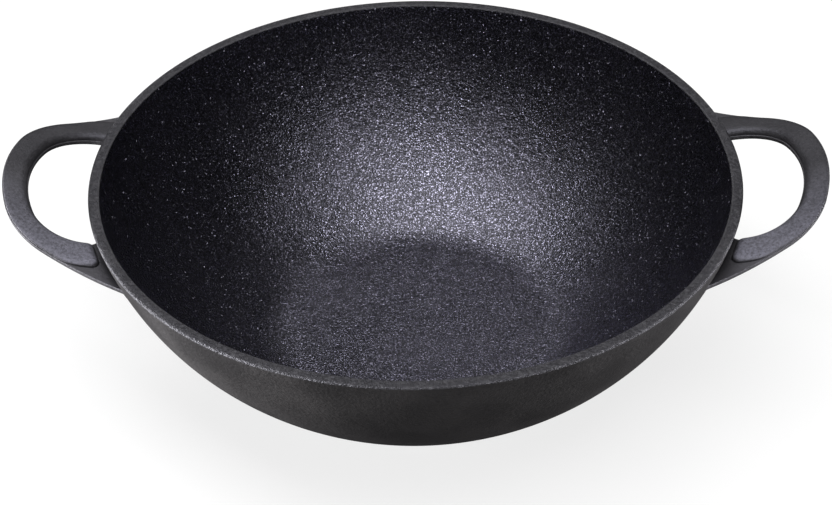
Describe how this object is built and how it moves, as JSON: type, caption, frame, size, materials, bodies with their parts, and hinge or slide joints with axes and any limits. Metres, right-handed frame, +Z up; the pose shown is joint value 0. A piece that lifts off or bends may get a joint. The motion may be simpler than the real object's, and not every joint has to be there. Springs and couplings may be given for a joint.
{
  "type": "kadai",
  "caption": "Deep round cast iron kadai with a flat base, a flat ground rim and raised open loop grips on opposite sides.",
  "frame": {"origin": "centre of the flat base, on the surface that the pan rests on", "axes": "+X points to the right grip, +Y to the rear, away from the side that the picture shows nearest, and +Z up out of the bowl's mouth"},
  "size_m": [0.3322, 0.2634, 0.0906],
  "materials": {
    "bowl_iron": "black seasoned, orange-peel texture inside, sand-cast outside",
    "rim_iron": "black seasoned over a flat ground face",
    "handle_iron": "black seasoned, fine sand-cast grain"
  },
  "bodies": {
    "root": {"bowl_floor": "bowl_iron", "bowl_wall": "bowl_iron", "rim_band": "rim_iron", "right_grip": "handle_iron", "right_front_root": "handle_iron", "right_rear_root": "handle_iron", "left_grip": "handle_iron", "left_front_root": "handle_iron", "left_rear_root": "handle_iron"}
  },
  "joints": []
}
